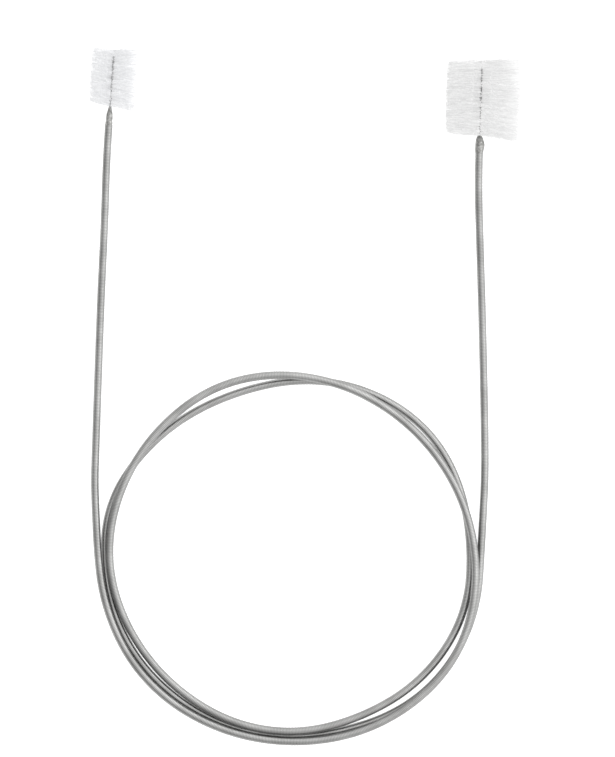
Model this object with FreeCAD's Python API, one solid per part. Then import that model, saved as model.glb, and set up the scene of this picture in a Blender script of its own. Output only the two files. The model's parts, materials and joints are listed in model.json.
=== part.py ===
"""A double-ended flexible hose brush, lying flat with its shaft wound into a loose coil.

The shaft is a close-wound spring. A brazed neck closes each of its ends and holds a stem of two wires twisted
round each other, which grip rows of nylon bristles. One end carries a small brush and the other a large one.
Millimetres, +Z up, the surface it lies on at z = 0, both brushes pointing to +Y.
The layout is drawn about the coil's centre, and moved at the end to stand on the middle of its footprint.
"""

import FreeCAD, Part
import math
import os
from FreeCAD import Vector

# Spring shaft
SHAFT_D = 3.3
TURN_SHARE = 0.45          # share of the shorter run that each bend of a leg takes up

# Coil: the outer shape of two and a half loose turns, two strands high
COIL_INNER_R = 67.7
COIL_OUTER_R = 79.4
COIL_LAYERS = 2
LEAD_LENGTH = 24.0         # how far each strand runs on as part of the coil's outer shape

# Twisted stem
STEM_WIRE_D = 0.7
STEM_TWIST = 7.6           # axial length of one full twist
STRAND_GAP = 0.02          # between the two wires where they lie on each other
STEM_FIT = 0.05            # radial clearance of the twisted pair in the neck and in the shaft
TAIL_DEPTH = 6.0           # how far the stem reaches into the shaft
TAIL_ROOM = 0.3            # free depth below the tail
STEM_TIP_INSET = 2.7       # the last row's bristles reach this far past the stem's tip

# Bristle rows
ROW_GAP = 0.3
ROW_BORE_FIT = 0.05
ROW_RIM = 0.5              # rounding of each row's edge
RIM_SHARE = 1 / 3          # no edge is rounded by more than this share of the wall beside it
TIP_ROW_TAPER = 1.1        # the last row's radius is this much smaller

# Brazed necks: a sleeve, then a taper whose side bulges outwards by the dome
NECK_LIP = 0.12            # wall left round the stem at the neck's tip

SMALL = {
    "name": "small",
    "base": (-73.4, 175.6),
    "tilt": 4.0,
    "brush_r": 9.7,
    "rows": 6,
    "sleeve_d": 2.5,
    "sleeve": 4.9,
    "taper": 2.4,
    "dome": 0.1,
    "first_run": 14.0,
    "leg": [
        (-75.15, 136.0, 7.4),
        (-76.6, 108.0, 3.7),
        (-77.7, 78.0, 2.0),
        (-78.7, 48.0, 2.6),
        (-79.25, 32.0, 3.75),
        (-78.9, 20.0, 4.15),
    ],
}

LARGE = {
    "name": "large",
    "base": (76.35, 164.8),
    "tilt": 1.8,
    "brush_r": 15.25,
    "rows": 8,
    "sleeve_d": 3.4,
    "sleeve": 3.8,
    "taper": 2.3,
    "dome": 0.45,
    "first_run": 14.0,
    "leg": [
        (76.75, 125.0, 10.5),
        (77.75, 96.0, 4.3),
        (78.5, 66.0, 1.8),
        (78.85, 44.0, 1.65),
        (78.8, 33.0, 1.65),
        (78.35, 22.0, 1.65),
    ],
}

shaft_r = SHAFT_D / 2
strand_offset = (STEM_WIRE_D + STRAND_GAP) / 2
stem_r = strand_offset + STEM_WIRE_D / 2
stem_bore_r = stem_r + STEM_FIT
row_pitch = STEM_TWIST / 2


def axis_of(brush):
    """The direction in which a brush points: level, and leaning from +Y towards +X."""
    lean = math.radians(brush["tilt"])
    return Vector(math.sin(lean), math.cos(lean), 0)


def base_of(brush):
    """Where the spring's end meets the neck. The brush lies on its bristles, so its axis is as high as they are long."""
    x, y = brush["base"]
    return Vector(x, y, brush["brush_r"])


def neck_length(brush):
    return brush["sleeve"] + brush["taper"]


def leg_points(brush):
    """The route of the shaft from the neck to the coil. Its first run is in line with the brush."""
    start = base_of(brush)
    second = start - axis_of(brush) * brush["first_run"]
    return [start, second] + [Vector(*point) for point in brush["leg"]]


def directions(points):
    return [(b - a).normalize() for a, b in zip(points, points[1:])]


def bends(points):
    """For each inner point: where its arc starts, its middle, where it ends, and its radius."""
    way = directions(points)
    found = []
    for i in range(1, len(points) - 1):
        before, after, corner = way[i - 1], way[i], points[i]
        half_turn = before.getAngle(after) / 2
        shorter = min(corner.distanceToPoint(points[i - 1]), corner.distanceToPoint(points[i + 1]))
        reach = TURN_SHARE * shorter
        radius = reach / math.tan(half_turn)
        inward = (after - before).normalize()
        centre = corner + inward * (radius / math.cos(half_turn))
        middle = centre - inward * radius
        found.append((corner - before * reach, middle, corner + after * reach, radius))
    return found


def route(points):
    """Straight runs joined by tangent arcs, as one wire."""
    edges = []
    here = points[0]
    for start, middle, end, _ in bends(points):
        edges.append(Part.LineSegment(here, start).toShape())
        edges.append(Part.Arc(start, middle, end).toShape())
        here = end
    edges.append(Part.LineSegment(here, points[-1]).toShape())
    return Part.Wire(edges)


def rod(start, direction, radius, length):
    return Part.makeCylinder(radius, length, start, direction)


def leg(brush):
    """The uncoiled stretch of shaft, solid but for the bore that the stem's tail sits in."""
    points = leg_points(brush)
    path = route(points)
    section = Part.Wire([Part.makeCircle(shaft_r, points[0], directions(points)[0])])
    tube = path.makePipeShell([section], True, False)
    socket = rod(points[0], -axis_of(brush), stem_bore_r, TAIL_DEPTH + TAIL_ROOM)
    radii = ", ".join(f"{bend[3]:.0f}" for bend in bends(points))
    share = tube.Volume / (math.pi * shaft_r**2 * path.Length)
    print(f"{brush['name']} leg: {path.Length:.1f} mm, bend radii {radii} mm, volume {share:.4f} of section x length")
    return tube.cut(socket)


def lead(brush):
    """The strand's first stretch inside the coil's outer shape, in line with the leg and face to face with it."""
    points = leg_points(brush)
    return rod(points[-1], directions(points)[-1], shaft_r, LEAD_LENGTH)


def coil():
    """The ring that the loose turns fill, rounded like the strands at its edges, and its two leads."""
    width = COIL_OUTER_R - COIL_INNER_R
    ring = Part.makeCylinder(COIL_OUTER_R, COIL_LAYERS * SHAFT_D)
    ring = ring.cut(Part.makeCylinder(COIL_INNER_R, COIL_LAYERS * SHAFT_D))
    rounding = min(shaft_r, width * RIM_SHARE)
    rims = [edge for edge in ring.Edges if edge.Closed and len(edge.Vertexes) == 1]
    ring = ring.makeFillet(rounding, rims)
    return ring.fuse([lead(SMALL), lead(LARGE)]).removeSplitter()


def along(brush, shape):
    """Moves a shape drawn up +Z from the origin onto the brush's axis, starting at the spring's end."""
    turn = FreeCAD.Rotation(Vector(0, 0, 1), axis_of(brush))
    placed = shape.copy()
    placed.Placement = FreeCAD.Placement(base_of(brush), turn).multiply(shape.Placement)
    return placed


def neck(brush):
    """The braze that fills the spring's end: a sleeve that tapers onto the stem, bored for it."""
    sleeve_r = brush["sleeve_d"] / 2
    tip_r = stem_bore_r + NECK_LIP
    top = neck_length(brush)
    inner = Vector(stem_bore_r, 0, 0)
    foot = Vector(sleeve_r, 0, 0)
    shoulder = Vector(sleeve_r, 0, brush["sleeve"])
    tip = Vector(tip_r, 0, top)
    slope = (tip - shoulder).normalize()
    bulge = (shoulder + tip) / 2 + Vector(slope.z, 0, -slope.x) * brush["dome"]
    inner_top = Vector(stem_bore_r, 0, top)
    outline = Part.Wire([
        Part.LineSegment(inner, foot).toShape(),
        Part.LineSegment(foot, shoulder).toShape(),
        Part.Arc(shoulder, bulge, tip).toShape(),
        Part.LineSegment(tip, inner_top).toShape(),
        Part.LineSegment(inner_top, inner).toShape(),
    ])
    return Part.Face(outline).revolve(Vector(), Vector(0, 0, 1), 360)


def stem_wire(brush, half_turns):
    """One wire of the twisted pair, from its tail inside the spring to its tip inside the last row."""
    length = TAIL_DEPTH + neck_length(brush) + brush["rows"] * row_pitch - STEM_TIP_INSET
    helix = Part.makeHelix(STEM_TWIST, length, strand_offset)
    start = Vector(strand_offset, 0, 0)
    rise = Vector(0, 2 * math.pi * strand_offset, STEM_TWIST)
    section = Part.Wire([Part.makeCircle(STEM_WIRE_D / 2, start, rise)])
    wire = Part.Wire(helix).makePipeShell([section], True, True)
    wire.rotate(Vector(), Vector(0, 0, 1), 180 * half_turns)
    wire.translate(Vector(0, 0, -TAIL_DEPTH))
    return wire


def row_radius(brush, number):
    is_tip = number == brush["rows"]
    return brush["brush_r"] - (TIP_ROW_TAPER if is_tip else 0)


def bristle_row(brush, number):
    """The bristles that one half turn of the stem grips: a disc with a rounded rim, bored for the stem."""
    radius = row_radius(brush, number)
    thick = row_pitch - ROW_GAP
    foot = Vector(0, 0, neck_length(brush) + (number - 1) * row_pitch + ROW_GAP / 2)
    disc = Part.makeCylinder(radius, thick, foot)
    rims = [edge for edge in disc.Edges if edge.Closed and len(edge.Vertexes) == 1]
    disc = disc.makeFillet(min(ROW_RIM, thick * RIM_SHARE), rims)
    return disc.cut(Part.makeCylinder(stem_r + ROW_BORE_FIT, thick, foot))


def brush_nodes(brush):
    name = brush["name"]
    nodes = {f"{name}_neck": along(brush, neck(brush))}
    for letter, half_turns in (("a", 0), ("b", 1)):
        nodes[f"{name}_stem_wire_{letter}"] = along(brush, stem_wire(brush, half_turns))
    for number in range(1, brush["rows"] + 1):
        nodes[f"{name}_bristle_row_{number}"] = along(brush, bristle_row(brush, number))
    return nodes


def all_nodes():
    nodes = {"shaft_coil": coil()}
    for brush in (SMALL, LARGE):
        nodes[f"shaft_leg_{brush['name']}"] = leg(brush)
        nodes.update(brush_nodes(brush))
    return nodes


def footprint_centre(shapes):
    """The middle of the whole object's footprint, at the height of the surface it lies on."""
    boxes = [shape.optimalBoundingBox(False, False) for shape in shapes]
    middle_x = (min(box.XMin for box in boxes) + max(box.XMax for box in boxes)) / 2
    middle_y = (min(box.YMin for box in boxes) + max(box.YMax for box in boxes)) / 2
    return Vector(middle_x, middle_y, 0)


def main():
    os.makedirs("parts", exist_ok=True)
    nodes = all_nodes()
    origin = footprint_centre(nodes.values())
    for name, shape in nodes.items():
        shape.translate(-origin)
        shape.exportStep(f"parts/{name}.step")
        print(f"{name}: {len(shape.Solids)} solid, {shape.Volume:.1f} mm3, valid {shape.isValid()}")
    print(f"coil's centre at {-origin.x:.3f}, {-origin.y:.3f}")


main()
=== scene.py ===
"""Looks of a double-ended flexible hose brush: a coiled spring shaft with a bristle brush on each end.

Metres, in the row's frame: +Z up, both brushes pointing to +Y, the large one on the +X side.
"""

import json
import math
import random

import bpy
import numpy as np
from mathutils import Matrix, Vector, noise


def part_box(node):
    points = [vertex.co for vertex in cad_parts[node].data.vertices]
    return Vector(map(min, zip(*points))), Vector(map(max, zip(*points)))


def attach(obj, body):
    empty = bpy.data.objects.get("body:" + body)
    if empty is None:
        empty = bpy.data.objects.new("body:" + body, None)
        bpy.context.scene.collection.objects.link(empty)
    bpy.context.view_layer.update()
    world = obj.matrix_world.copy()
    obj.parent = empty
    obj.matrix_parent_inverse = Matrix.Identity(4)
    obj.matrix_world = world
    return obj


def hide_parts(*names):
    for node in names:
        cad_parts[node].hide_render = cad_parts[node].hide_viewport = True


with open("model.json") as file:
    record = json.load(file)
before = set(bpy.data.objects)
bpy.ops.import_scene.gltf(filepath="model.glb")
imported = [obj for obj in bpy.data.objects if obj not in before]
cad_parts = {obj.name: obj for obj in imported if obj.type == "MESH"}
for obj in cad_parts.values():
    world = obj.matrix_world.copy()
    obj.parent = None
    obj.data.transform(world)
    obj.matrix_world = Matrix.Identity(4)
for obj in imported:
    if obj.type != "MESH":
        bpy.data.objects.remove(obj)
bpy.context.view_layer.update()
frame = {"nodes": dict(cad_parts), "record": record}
MM = 0.001
TAU = 2 * math.pi
UP = Vector((0, 0, 1))
random.seed(7)

# ---------------------------------------------------------------- where things are

COIL_MEAN_R = 73.55 * MM       # the coil rests on the middle of its ring, where the rest mount is
COIL_LAYERS = 2

mounts = {mount["name"]: mount for mount in frame["record"]["mounts"]}
coil_low, coil_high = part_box("shaft_coil")
shaft_r = (coil_high.z - coil_low.z) / COIL_LAYERS / 2
coil_centre = Vector(mounts["rest"]["pos_m"]) + Vector((0, COIL_MEAN_R, 0))

# ---------------------------------------------------------------- camera

# The view's height and centre were set by comparing renders with the photo.
VIEW_HEIGHT = 306.6 * MM       # what the picture's height covers, halfway up the coil
VIEW_CENTRE = Vector((6.95, 72.7, 3.3)) * MM  # from the coil's centre
CAMERA_DISTANCE = 5.0
SENSOR_LONG_SIDE = 36.0        # along the picture's height, which is its long side

lens = bpy.data.cameras.new("camera")
lens.sensor_width = SENSOR_LONG_SIDE
lens.lens = SENSOR_LONG_SIDE * CAMERA_DISTANCE / VIEW_HEIGHT
camera = bpy.data.objects.new("camera", lens)
camera.location = coil_centre + VIEW_CENTRE + UP * CAMERA_DISTANCE
bpy.context.scene.collection.objects.link(camera)
bpy.context.scene.camera = camera
bpy.context.scene.view_settings.view_transform = "Standard"

# ---------------------------------------------------------------- route of the shaft

# The two straight ends, from neck to coil, about the coil's centre. They repeat the part's own route, which
# follows the shaft as measured in the photo. Their heights are a guess.
SMALL_LEG = [
    (-0.0734, 0.1756, 0.0097),
    (-0.07438, 0.16163, 0.0097),
    (-0.07515, 0.136, 0.0074),
    (-0.0766, 0.108, 0.0037),
    (-0.0777, 0.078, 0.002),
    (-0.0787, 0.048, 0.0026),
    (-0.07925, 0.032, 0.00375),
    (-0.0789, 0.020, 0.00415),
]
LARGE_LEG = [
    (0.07635, 0.1648, 0.01525),
    (0.07591, 0.15081, 0.01525),
    (0.07675, 0.125, 0.0105),
    (0.07775, 0.096, 0.0043),
    (0.0785, 0.066, 0.0018),
    (0.07885, 0.044, 0.00165),
    (0.0788, 0.033, 0.00165),
    (0.07835, 0.022, 0.00165),
]

# The loose turns. Angles run on from the -X side, where the small end comes in, anticlockwise from above.
# WANDER and LIE were typed in, then corrected over many renders until the brightness across the turns came
# close to the photo's, as a separate script measured it. They aren't known dimensions of the object.
COIL_START = 180
COIL_END = 1080
COIL_STEP = 10
TURN_R = 73.5 * MM
# at each angle, how far outwards the strand wanders from TURN_R, in millimetres
WANDER = [
    (180, 4.1), (195, 3.3), (210, 3.0), (225, 2.35), (240, 1.3), (270, 0.7), (300, 2.6), (330, 4.1),
    (360, 1.2), (405, -1.6), (420, -1.4), (435, -0.6), (475, 1.6), (495, 0.7), (510, 0.3), (540, -0.3),
    (570, -2.9), (592, -3.8), (615, -3.4), (630, -3.3), (655, -3.65), (675, -2.0), (690, -0.8), (705, -0.1),
    (720, -0.7), (765, 2.0), (795, -0.3), (830, -3.5), (855, -1.6), (870, 0.5), (885, 2.4), (900, 1.5),
    (930, 0.6), (960, -1.0), (990, -1.4), (1005, -0.9), (1020, 1.2), (1035, 3.2), (1050, 4.0), (1080, 3.3),
]
# at each angle, how high the strand's middle lies, in shaft diameters above the surface. It starts on top of
# the later turns, then comes down beside and under them, and is lifted a little once where they make room.
LIE = [
    (180, 1.5), (540, 1.5), (565, 1.3), (583, 1.15), (603, 1.35), (640, 1.35), (690, 0.56), (705, 0.5),
    (895, 0.5), (925, 0.8), (943, 0.8), (968, 0.5), (1080, 0.5),
]
ROUTE_STEPS = 24               # places read between one point of the route and the next


def eased(knots, at):
    """A smooth curve through the knots, read at one place."""
    x, y = np.array(knots, float).T
    slope = np.gradient(y, x)
    i = int(np.clip(np.searchsorted(x, at) - 1, 0, len(x) - 2))
    width = x[i + 1] - x[i]
    t = (at - x[i]) / width
    start = (1 + 2 * t) * (1 - t) ** 2 * y[i] + t * (1 - t) ** 2 * width * slope[i]
    end = t * t * (3 - 2 * t) * y[i + 1] + t * t * (t - 1) * width * slope[i + 1]
    return start + end


def coil_points():
    """The turns, as control points. The spline runs a little inside them, so they stand further out."""
    stand_out = 1 / math.cos(math.radians(COIL_STEP / 2))
    points = []
    for degrees in range(COIL_START, COIL_END + 1, COIL_STEP):
        radius = (TURN_R + eased(WANDER, degrees) * MM) * stand_out
        height = np.interp(degrees, *np.array(LIE).T) * 2 * shaft_r
        angle = math.radians(degrees)
        points.append((radius * math.cos(angle), radius * math.sin(angle), float(height)))
    return points


def smooth_line(points):
    """The points' own smooth line, a NURBS spline, read back as closely spaced places."""
    curve = bpy.data.curves.new("route", "CURVE")
    curve.dimensions = "3D"
    curve.resolution_u = ROUTE_STEPS
    spline = curve.splines.new("NURBS")
    spline.points.add(len(points) - 1)
    for knot, point in zip(spline.points, points):
        knot.co = (*(coil_centre + Vector(point)), 1)
    spline.order_u = 3
    spline.use_endpoint_u = True
    holder = bpy.data.objects.new("route", curve)
    bpy.context.scene.collection.objects.link(holder)
    bpy.context.view_layer.update()
    line = bpy.data.meshes.new_from_object(holder)
    places = np.array([vertex.co for vertex in line.vertices])
    bpy.data.objects.remove(holder)
    return places


route = SMALL_LEG + coil_points() + LARGE_LEG[::-1]
shaft_line = smooth_line(route)

# ---------------------------------------------------------------- mesh helpers


def new_piece(name, vertices, faces, material):
    mesh = bpy.data.meshes.new(name)
    mesh.from_pydata(vertices, [], faces)
    mesh.polygons.foreach_set("use_smooth", [True] * len(mesh.polygons))
    mesh.update()
    mesh.materials.append(material)
    piece = bpy.data.objects.new(name, mesh)
    bpy.context.scene.collection.objects.link(piece)
    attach(piece, "root")
    return piece


def add_share(piece, name, values):
    """A number for each vertex, which the material reads."""
    attribute = piece.data.attributes.new(name, "FLOAT", "POINT")
    attribute.data.foreach_set("value", np.asarray(values, np.float32))


def travelling_frames(line):
    """For each place on a line: how far along it is, and two directions across it that don't twist."""
    steps = np.diff(line, axis=0)
    along = np.concatenate([[0], np.cumsum(np.linalg.norm(steps, axis=1))])
    ahead = np.gradient(line, along, axis=0)
    ahead /= np.linalg.norm(ahead, axis=1)[:, None]
    across = np.zeros_like(line)
    side = np.cross(ahead[0], UP)
    for i, direction in enumerate(ahead):
        side = side - direction * side.dot(direction)
        side = side / np.linalg.norm(side)
        across[i] = side
    return along, across, np.cross(ahead, across)


# ---------------------------------------------------------------- materials


class Nodes:
    """A material under construction: its Principled shader and the nodes that feed it."""

    def __init__(self, name):
        self.material = bpy.data.materials.new(name)
        self.material.use_nodes = True
        self.tree = self.material.node_tree
        self.shader = self.tree.nodes["Principled BSDF"]

    def add(self, kind, links=None, **settings):
        node = self.tree.nodes.new(kind)
        for key, value in settings.items():
            setattr(node, key, value)
        for socket, source in (links or {}).items():
            self.feed(node.inputs[socket], source)
        return node

    def feed(self, socket, source):
        if isinstance(source, bpy.types.NodeSocket):
            self.tree.links.new(source, socket)
        else:
            socket.default_value = source

    def place(self):
        return self.add("ShaderNodeTexCoord").outputs["Object"]

    def noise(self, scale, detail=3.0, stretch=(1, 1, 1)):
        mapped = self.add("ShaderNodeMapping", {"Vector": self.place(), "Scale": stretch})
        links = {"Vector": mapped.outputs["Vector"], "Scale": scale, "Detail": detail}
        return self.add("ShaderNodeTexNoise", links).outputs["Fac"]

    def share(self, name):
        return self.add("ShaderNodeAttribute", attribute_name=name).outputs["Fac"]

    def ramp(self, source, *stops):
        node = self.add("ShaderNodeValToRGB", {"Fac": source})
        for extra in stops[2:]:
            node.color_ramp.elements.new(extra[0])
        for element, (position, colour) in zip(node.color_ramp.elements, stops):
            element.position = position
            element.color = (*colour, 1)
        return node.outputs["Color"]

    def blend(self, way, share, a, b):
        node = self.add("ShaderNodeMix", data_type="RGBA", blend_type=way)
        self.feed(node.inputs["Factor"], share)
        self.feed(node.inputs["A"], a)
        self.feed(node.inputs["B"], b)
        return node.outputs["Result"]

    def bump(self, height, distance, strength=0.5):
        links = {"Height": height, "Distance": distance, "Strength": strength}
        self.feed(self.shader.inputs["Normal"], self.add("ShaderNodeBump", links).outputs["Normal"])


def grey(value):
    return (value, value, value)


def spring_steel():
    """Drawn stainless wire, with painted shade in the groove between turns: the colour darkens towards the
    groove and is full on each turn's crown.

    Its base is darker than bare steel, so that the rims come out as dark as the photo's under this light.
    """
    n = Nodes("spring_steel")
    blotches = n.ramp(n.noise(90), (0.35, (0.29, 0.29, 0.285)), (0.65, (0.365, 0.365, 0.36)))
    # painted shade: the base colour is darkened towards the groove between turns, down to 0.45 of it at the
    # groove's floor
    groove_shade = n.ramp(n.share("groove"), (0.0, grey(1.0)), (0.55, grey(0.85)), (1.0, grey(0.45)))
    n.feed(n.shader.inputs["Base Color"], n.blend("MULTIPLY", 1.0, blotches, groove_shade))
    n.feed(n.shader.inputs["Roughness"], n.ramp(n.noise(700), (0.3, grey(0.27)), (0.7, grey(0.42))))
    n.bump(n.noise(5200, 2.0), 0.00002)
    n.shader.inputs["Metallic"].default_value = 1.0
    n.shader.inputs["Specular Tint"].default_value = (0.85, 0.85, 0.85, 1)
    return n.material


def stem_steel():
    n = Nodes("stem_steel")
    n.feed(n.shader.inputs["Base Color"], n.ramp(n.noise(600), (0.35, grey(0.36)), (0.7, grey(0.58))))
    n.feed(n.shader.inputs["Roughness"], n.ramp(n.noise(1500), (0.3, grey(0.25)), (0.7, grey(0.45))))
    n.bump(n.noise(7000, 2.0), 0.00001)
    n.shader.inputs["Metallic"].default_value = 1.0
    return n.material


def braze_metal():
    """Filler metal that ran and was ground over, duller than the wire, with stains from the flux."""
    n = Nodes("braze_metal")
    stains = n.ramp(n.noise(900), (0.35, (0.18, 0.18, 0.174)), (0.65, (0.40, 0.398, 0.388)))
    n.feed(n.shader.inputs["Base Color"], stains)
    n.feed(n.shader.inputs["Roughness"], n.ramp(n.noise(1600), (0.3, grey(0.32)), (0.7, grey(0.55))))
    n.bump(n.noise(2600), 0.00005)
    n.shader.inputs["Metallic"].default_value = 1.0
    return n.material


def nylon(name, dim, bright, scattered):
    """Milky filament, each a slightly different tone.

    Its emission stands for the light that filaments pass on to each other, and it is strong: about four
    fifths of the heads' brightness in the main view. The base is much darker than nylon, to make up for it.
    So without its emission a head renders dark grey, and in a dark scene it glows.
    """
    n = Nodes(name)
    tones = n.ramp(n.share("tone"), (0.0, dim), (1.0, bright))
    n.feed(n.shader.inputs["Base Color"], tones)
    n.feed(n.shader.inputs["Emission Color"], tones)
    n.feed(n.shader.inputs["Roughness"], n.ramp(n.noise(800), (0.3, grey(0.30)), (0.7, grey(0.45))))
    n.shader.inputs["Emission Strength"].default_value = scattered
    n.shader.inputs["IOR"].default_value = 1.53
    return n.material


def white_floor():
    n = Nodes("floor")
    n.feed(n.shader.inputs["Base Color"], n.ramp(n.noise(40), (0.3, grey(0.38)), (0.7, grey(0.40))))
    n.shader.inputs["Roughness"].default_value = 0.9
    n.shader.inputs["Specular IOR Level"].default_value = 0.1
    n.feed(n.shader.inputs["Emission Color"], n.ramp(n.noise(40), (0.3, grey(0.98)), (0.7, grey(1.0))))
    n.shader.inputs["Emission Strength"].default_value = 0.95
    return n.material


# ---------------------------------------------------------------- spring shaft

SPRING_PITCH = 0.6 * MM        # the turns touch, so it is the wire's thickness too
STEPS_A_TURN = 12
# across one turn of wire: how far along the pitch, how deep below the crown, and how far into the groove,
# which sets the painted shade in the steel's colour
TURN_PROFILE = [(0.0, 0.62, 1.0), (0.33, 0.06, 0.1), (0.67, 0.06, 0.1)]


def spring_shaft(line):
    """The close-wound spring's outside: one helical ribbon, each lap joined to the next in the groove."""
    along, across, over = travelling_frames(line)
    length = along[-1]
    laps = int(length / SPRING_PITCH) - 1
    rows = laps * STEPS_A_TURN + 1
    profile = np.array(TURN_PROFILE)
    wide = len(profile)
    i = np.repeat(np.arange(rows), wide)
    shift, depth, groove = np.tile(profile, (rows, 1)).T
    place = (i / STEPS_A_TURN + shift) * SPRING_PITCH
    place = place / ((laps + 1) * SPRING_PITCH) * length
    angle = i * TAU / STEPS_A_TURN
    radius = shaft_r - depth * SPRING_PITCH / 2
    middle, right, top = (
        np.stack([np.interp(place, along, part[:, k]) for k in range(3)], 1) for part in (line, across, over)
    )
    points = middle + radius[:, None] * (np.cos(angle)[:, None] * right + np.sin(angle)[:, None] * top)
    faces = []
    for row in range(rows - 1):
        for k in range(wide - 1):
            a = row * wide + k
            faces.append((a, a + wide, a + wide + 1, a + 1))
        if row + STEPS_A_TURN + 1 < rows:
            a = row * wide + wide - 1
            b = (row + STEPS_A_TURN) * wide
            faces.append((a, a + wide, b + wide, b))
    first = [row * wide for row in range(STEPS_A_TURN + 1)] + [wide - 1 - k for k in range(wide - 1)]
    last_row = rows - 1
    start = last_row - STEPS_A_TURN
    last = [row * wide + wide - 1 for row in range(start, last_row + 1)]
    last += [last_row * wide + k for k in range(wide - 2, -1, -1)]
    faces.append(tuple(reversed(first)))
    faces.append(tuple(last))
    piece = new_piece("spring_shaft", points.tolist(), faces, spring_steel())
    # how far into the groove each vertex is, which the steel reads to paint shade there
    add_share(piece, "groove", groove)
    return piece


shaft = spring_shaft(shaft_line)
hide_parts("shaft_leg_small", "shaft_coil", "shaft_leg_large")

# ---------------------------------------------------------------- brushes

STEM_TWIST = 7.6 * MM
ROW_PITCH = STEM_TWIST / 2
STEM_R = 0.71 * MM
STEM_SHORT = 2.7 * MM          # how far the last bristles stand past the stem's cut end

# For each brush, in millimetres where no unit is given:
#   neck          where the bristles start, above the spring's end
#   neck_profile  height above the spring's end and radius there
#   lump          a run of filler: its height, its length, how proud it stands, and the angle it faces
#   wider_right   how much further the bristles reach on the right than on the left, as a share of the radius
#   phase         the stem's turn where the pack starts, in radians
#   flare         how far the tips lean along the axis at the low and the high end, on each side
#   parted        where the bristles part over the stem: the middle of that stretch and half its length
SMALL = {
    "name": "small",
    "base": coil_centre + Vector(SMALL_LEG[0]),
    "axis": Vector(mounts["small_brush"]["axis"]),
    "brush_r": mounts["small_brush"]["dims"]["r_mm"] * MM,
    "rows": 6,
    "neck": 7.3 * MM,
    "neck_profile": [
        (-0.9, 1.3), (0.0, 1.5), (0.7, 1.52), (1.5, 1.3), (2.2, 1.34), (4.2, 1.28), (5.2, 1.0), (6.3, 0.74),
        (7.3, 0.52),
    ],
    "lump": (2.6, 0.7, 0.12, 0.4),
    "filaments": 560,
    "filament_r": 0.075 * MM,
    "wider_right": 0.07,
    "phase": 0.3,
    "flare": {"low_left": 1.9, "low_right": -2.0, "high_left": 0.0, "high_right": 1.2},
    "parted": (13.6, 6.0),
}
LARGE = {
    "name": "large",
    "base": coil_centre + Vector(LARGE_LEG[0]),
    "axis": Vector(mounts["large_brush"]["axis"]),
    "brush_r": mounts["large_brush"]["dims"]["r_mm"] * MM,
    "rows": 8,
    "neck": 6.1 * MM,
    "neck_profile": [
        (-0.9, 1.66), (0.0, 1.68), (0.7, 1.72), (2.2, 1.7), (3.4, 1.66), (4.5, 1.5), (5.4, 1.15), (5.9, 0.8),
        (6.1, 0.74),
    ],
    "lump": (2.2, 1.6, 0.42, 0.0),
    "filaments": 820,
    "filament_r": 0.09 * MM,
    "wider_right": 0.06,
    "phase": 0.9,
    "flare": {"low_left": 0.8, "low_right": -2.0, "high_left": -1.2, "high_right": 0.8},
    "parted": (18.5, 7.6),
}

NECK_SIDES = 40
NECK_RINGS = 36
SKIN_GRAIN = 0.9 * MM          # size of the unevenness in a neck's skin, and how deep it is
SKIN_DEPTH = 0.05 * MM

ROUNDS = 3                     # sides of a filament
RINGS = 4                      # rings along a filament
TAPER = 0.1                    # how much thinner it is at its tip
SPREAD = 1.2                   # how far filaments fan out from where the stem points them, in radians
BEND = 0.07
UNEVEN = 0.013                 # how much shorter than the rim they are cut, as a share of the radius
LEAN = 0.35 * MM
WORN_END = 0.045               # how much shorter the first and last bristles of a pack are

# Over the top of the stem the filaments part, and show it.
PARTING_REACH = 1.2            # how far to each side of straight up, in radians
PARTING_GAP = 0.3
PARTING_SWEEP = 0.8            # how far sideways a parted filament leaves the stem
PARTED_ANYWHERE = 0.15         # the share that parts along the whole stem, and what the parted stretch adds
PARTED_MORE = 0.77
ROW_MEAN = 0.62                # within that stretch more part at each row's middle: mean and swing
ROW_SWING = 0.38

ROOT = 0.8                     # where filaments start, as a share of the stem's radius
ROOT_PAST_STEM = 0.05          # the same past the stem's end
LOWEST = 0.02 * MM             # bristles that reach the surface rest on it


def neck(brush, material):
    """The braze over the spring's end: a turned outline, a run of filler on one side and an uneven skin."""
    sides = NECK_SIDES
    rings = NECK_RINGS
    right = brush["axis"].cross(UP)
    height, radius = np.array(brush["neck_profile"]).T * MM
    lump_height, lump_long, lump_proud, lump_side = brush["lump"]
    points = []
    for ring in range(rings + 1):
        h = height[0] + ring / rings * (height[-1] - height[0])
        r = np.interp(h, height, radius)
        for side in range(sides):
            a = side / sides * TAU
            direction = right * math.cos(a) + UP * math.sin(a)
            near = math.exp(-(((h / MM - lump_height) / lump_long) ** 2))
            proud = lump_proud * MM * near * max(0.0, math.cos(a - lump_side)) ** 2
            skin = noise.noise((direction * r + brush["axis"] * h) / SKIN_GRAIN) * SKIN_DEPTH
            points.append(brush["base"] + brush["axis"] * h + direction * (r + proud + skin))
    faces = []
    for ring in range(rings):
        for side in range(sides):
            a = ring * sides + side
            b = ring * sides + (side + 1) % sides
            faces.append((a, b, b + sides, a + sides))
    faces.append(tuple(reversed(range(sides))))
    faces.append(tuple(range(rings * sides, (rings + 1) * sides)))
    piece = new_piece(f"{brush['name']}_brazed_neck", points, faces, material)
    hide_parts(f"{brush['name']}_neck")


def flare(brush, share, side):
    """How far along the axis a bristle's tip has leaned, by its place in the pack and its side."""
    table = brush["flare"]
    low = np.interp(side, (-1, 1), (table["low_left"], table["low_right"]))
    high = np.interp(side, (-1, 1), (table["high_left"], table["high_right"]))
    return float(low * (1 - share) + high * share) * MM


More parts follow.
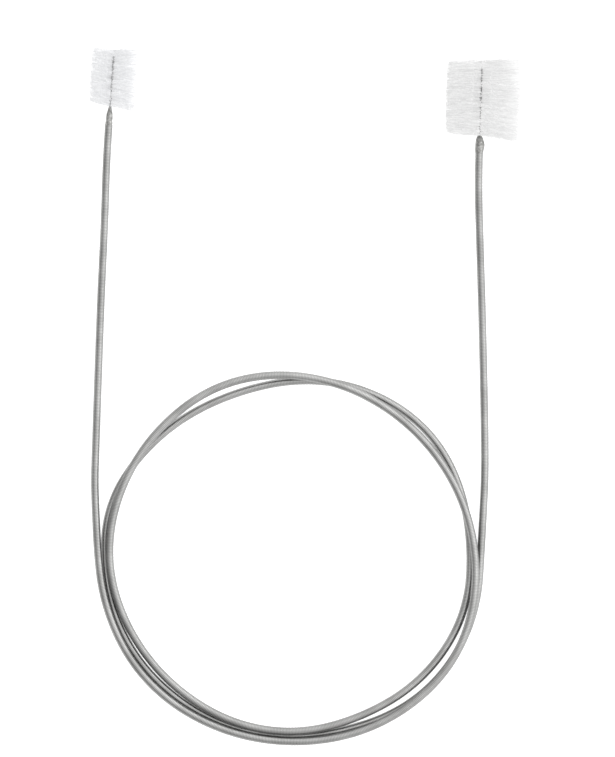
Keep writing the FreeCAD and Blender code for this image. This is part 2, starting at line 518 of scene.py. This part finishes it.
def filament(brush, number, right):
    """One bristle from stem to rim, as a slightly bent, tapered rod: its points and its tone."""
    pack = brush["rows"] * ROW_PITCH
    z = (number - 1 + random.random()) * ROW_PITCH
    end = random.choice((0, 1))
    angle = brush["phase"] + z / STEM_TWIST * TAU + end * math.pi + random.gauss(0, SPREAD)
    middle, half = brush["parted"]
    banding = ROW_MEAN + ROW_SWING * math.cos(z / ROW_PITCH * TAU)
    parting = PARTED_ANYWHERE + PARTED_MORE * math.exp(-(((z / MM - middle) / half) ** 4)) * banding
    from_top = (angle - math.pi / 2 + math.pi) % TAU - math.pi
    swept = 0.0
    if abs(from_top) < PARTING_REACH and random.random() < parting:
        swept = math.copysign(PARTING_SWEEP, from_top)
        angle += math.copysign(max(0.0, PARTING_GAP - abs(from_top)), from_top)
    side = math.cos(angle)
    at_end = abs(z / pack - 0.5) * 2
    wider = brush["wider_right"] * math.copysign(abs(side) ** 0.5, side)
    reach = brush["brush_r"] * (1 + wider) * (1 - WORN_END * at_end**6)
    reach *= 1 - abs(random.gauss(0, UNEVEN))
    lean = flare(brush, z / pack, side) + random.gauss(0, LEAN)
    bend = random.gauss(0, BEND)
    root = (ROOT if z < pack - STEM_SHORT else ROOT_PAST_STEM) * STEM_R
    tone = random.random()
    rings = []
    for ring in range(RINGS):
        t = ring / (RINGS - 1)
        a = angle + swept * (1 - t) ** 2 + bend * t * t
        direction = right * math.cos(a) + UP * math.sin(a)
        distance = root + (reach - root) * t
        rings.append(
            brush["base"] + brush["axis"] * (brush["neck"] + z + lean * t**1.5) + direction * distance
        )
    return rings, tone


def bristle_row(brush, number, material):
    """All bristles that one half turn of the stem grips."""
    right = brush["axis"].cross(UP)
    points = []
    faces = []
    tones = []
    for _ in range(brush["filaments"]):
        rings, tone = filament(brush, number, right)
        first = len(points)
        run = (rings[-1] - rings[0]).normalized()
        across = run.orthogonal().normalized()
        over = run.cross(across)
        for k, centre in enumerate(rings):
            r = brush["filament_r"] * (1 - TAPER * k / (RINGS - 1))
            for s in range(ROUNDS):
                a = s / ROUNDS * TAU
                point = centre + (across * math.cos(a) + over * math.sin(a)) * r
                point.z = max(point.z, LOWEST)
                points.append(point)
        for k in range(RINGS - 1):
            for s in range(ROUNDS):
                a = first + k * ROUNDS + s
                b = first + k * ROUNDS + (s + 1) % ROUNDS
                faces.append((a, b, b + ROUNDS, a + ROUNDS))
        faces.append(tuple(first + s for s in reversed(range(ROUNDS))))
        faces.append(tuple(first + (RINGS - 1) * ROUNDS + s for s in range(ROUNDS)))
        tones += [tone] * (RINGS * ROUNDS)
    name = f"{brush['name']}_bristles_{number}"
    piece = new_piece(name, points, faces, material)
    add_share(piece, "tone", tones)
    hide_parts(f"{brush['name']}_bristle_row_{number}")


braze = braze_metal()
stem = stem_steel()
nylons = {
    "small": nylon("small_nylon", (0.34, 0.342, 0.347), (0.42, 0.422, 0.427), 1.25),
    "large": nylon("large_nylon", (0.34, 0.34, 0.34), (0.42, 0.42, 0.42), 1.24),
}
for brush in (SMALL, LARGE):
    neck(brush, braze)
    for letter in "ab":
        wire = frame["nodes"][f"{brush['name']}_stem_wire_{letter}"]
        wire.data.materials.clear()
        wire.data.materials.append(stem)
    for number in range(1, brush["rows"] + 1):
        bristle_row(brush, number, nylons[brush["name"]])

# ---------------------------------------------------------------- floor and light

FLOOR_SIZE = 30.0
KEY_FROM = (0.75, 0.45, 0.75)
KEY_DISTANCE = 3.0
KEY_SIZE = 1.6
KEY_POWER = 16


def floor():
    half = FLOOR_SIZE / 2
    mesh = bpy.data.meshes.new("floor")
    corners = [(-half, -half, 0), (half, -half, 0), (half, half, 0), (-half, half, 0)]
    mesh.from_pydata(corners, [], [(0, 1, 2, 3)])
    mesh.materials.append(white_floor())
    plane = bpy.data.objects.new("floor", mesh)
    bpy.context.scene.collection.objects.link(plane)


def sky():
    """A white studio, brighter towards the +X +Y corner than opposite it, and white all along the horizon."""
    world = bpy.data.worlds.new("studio")
    world.use_nodes = True
    tree = world.node_tree
    direction = tree.nodes.new("ShaderNodeTexCoord")
    towards = tree.nodes.new("ShaderNodeVectorMath")
    towards.operation = "DOT_PRODUCT"
    towards.inputs[1].default_value = Vector((0.75, 0.45, 0.35)).normalized()
    shade = tree.nodes.new("ShaderNodeMapRange")
    shade.interpolation_type = "SMOOTHSTEP"
    for socket, value in (("From Min", -0.7), ("From Max", 0.9), ("To Min", 0.5), ("To Max", 2.0)):
        shade.inputs[socket].default_value = value
    height = tree.nodes.new("ShaderNodeSeparateXYZ")
    horizon = tree.nodes.new("ShaderNodeMapRange")
    horizon.interpolation_type = "SMOOTHSTEP"
    for socket, value in (("From Min", 0.08), ("From Max", 0.3), ("To Min", 1.2), ("To Max", 0.0)):
        horizon.inputs[socket].default_value = value
    brighter = tree.nodes.new("ShaderNodeMath")
    brighter.operation = "MAXIMUM"
    background = tree.nodes["Background"]
    tree.links.new(direction.outputs["Generated"], towards.inputs[0])
    tree.links.new(direction.outputs["Generated"], height.inputs[0])
    tree.links.new(towards.outputs["Value"], shade.inputs["Value"])
    tree.links.new(height.outputs["Z"], horizon.inputs["Value"])
    tree.links.new(shade.outputs["Result"], brighter.inputs[0])
    tree.links.new(horizon.outputs["Result"], brighter.inputs[1])
    tree.links.new(brighter.outputs["Value"], background.inputs["Strength"])
    background.inputs["Color"].default_value = (1, 1, 1, 1)
    bpy.context.scene.world = world


def key_lamp():
    """A soft square light that shines on the middle of the object."""
    light = bpy.data.lights.new("key", "AREA")
    light.size = KEY_SIZE
    light.energy = KEY_POWER
    holder = bpy.data.objects.new("key", light)
    holder.location = Vector(KEY_FROM).normalized() * KEY_DISTANCE
    holder.rotation_euler = holder.location.to_track_quat("Z", "Y").to_euler()
    bpy.context.scene.collection.objects.link(holder)


floor()
sky()
key_lamp()
